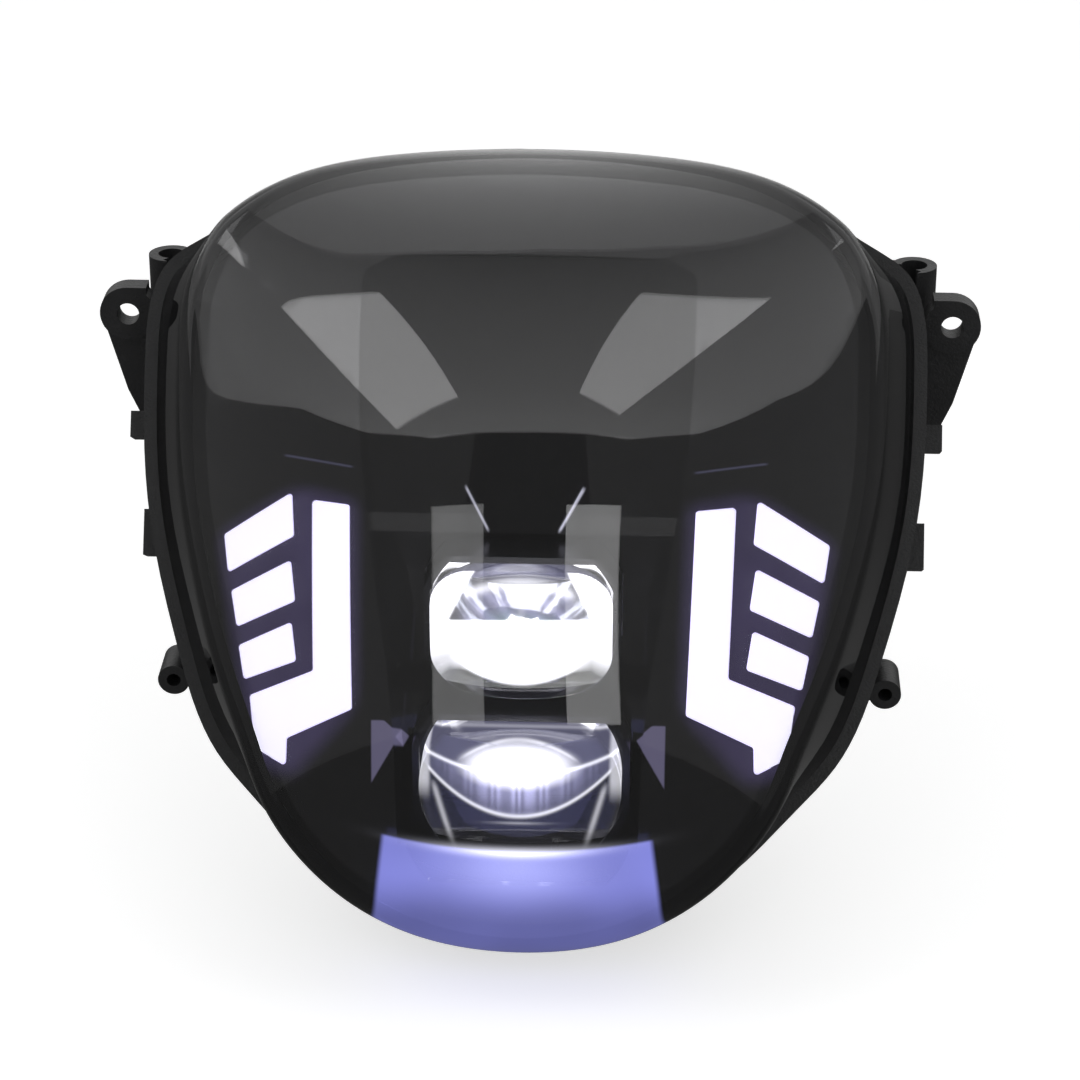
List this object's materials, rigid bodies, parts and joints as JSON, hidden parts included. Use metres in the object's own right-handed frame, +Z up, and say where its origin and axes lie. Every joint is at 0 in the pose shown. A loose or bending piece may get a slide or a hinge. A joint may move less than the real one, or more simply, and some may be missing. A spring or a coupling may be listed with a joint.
{
  "type": "twin projector headlight",
  "caption": "Shield-shaped motorcycle headlight: domed clear cover over a black stepped bezel, stacked projector lenses and lit side chevrons, in a housing with ears, sockets and lugs.",
  "frame": {"origin": "midway between the holes of the two upper ears", "axes": "+X to the viewer's right as seen from the front, -Y forwards along the beam, +Z up"},
  "size_m": [0.2714, 0.1822, 0.223],
  "materials": {
    "cover": "clear hard-coated polycarbonate, high gloss, stood in for by glass",
    "seal": "black soft rubber, matt",
    "housing": "black moulded polypropylene, fine grain",
    "bezel": "piano black, high gloss",
    "guide": "frosted white light guide, lit",
    "tray": "white reflective tray",
    "board": "green circuit board with solder mask",
    "emitter": "phosphor of a light-emitting diode, lit",
    "lens": "clear polished optical glass",
    "holder": "black moulded plastic",
    "reflector": "vacuum-metallised, mirror bright",
    "heat_sink": "die cast, plain",
    "shield": "blackened sheet",
    "carrier": "die cast, plain",
    "driver": "black potted case",
    "screw": "zinc plated"
  },
  "bodies": {
    "root": {"front_cover": "cover", "cover_seal": "seal", "rear_housing": "housing", "inner_bezel": "bezel", "left_elbow_guide": "guide", "right_elbow_guide": "guide", "left_chevron_guide": "guide", "right_chevron_guide": "guide", "left_light_box": "tray", "right_light_box": "tray", "left_side_board": "board", "right_side_board": "board", "left_side_emitters": "emitter", "right_side_emitters": "emitter", "upper_projector_lens": "lens", "lower_projector_lens": "lens", "upper_lens_holder": "holder", "lower_lens_holder": "holder", "upper_reflector": "reflector", "lower_reflector": "reflector", "upper_heat_sink": "heat_sink", "lower_heat_sink": "heat_sink", "upper_led_board": "board", "lower_led_board": "board", "upper_emitter": "emitter", "lower_emitter": "emitter", "cutoff_shield": "shield", "projector_carrier": "carrier", "rear_cover_gasket": "seal", "rear_cover": "housing", "led_driver": "driver", "wire_grommet": "seal", "vent_caps": "seal", "bezel_screws": "screw", "rear_cover_screws": "screw", "carrier_screws": "screw", "heat_sink_screws": "screw"}
  },
  "joints": []
}
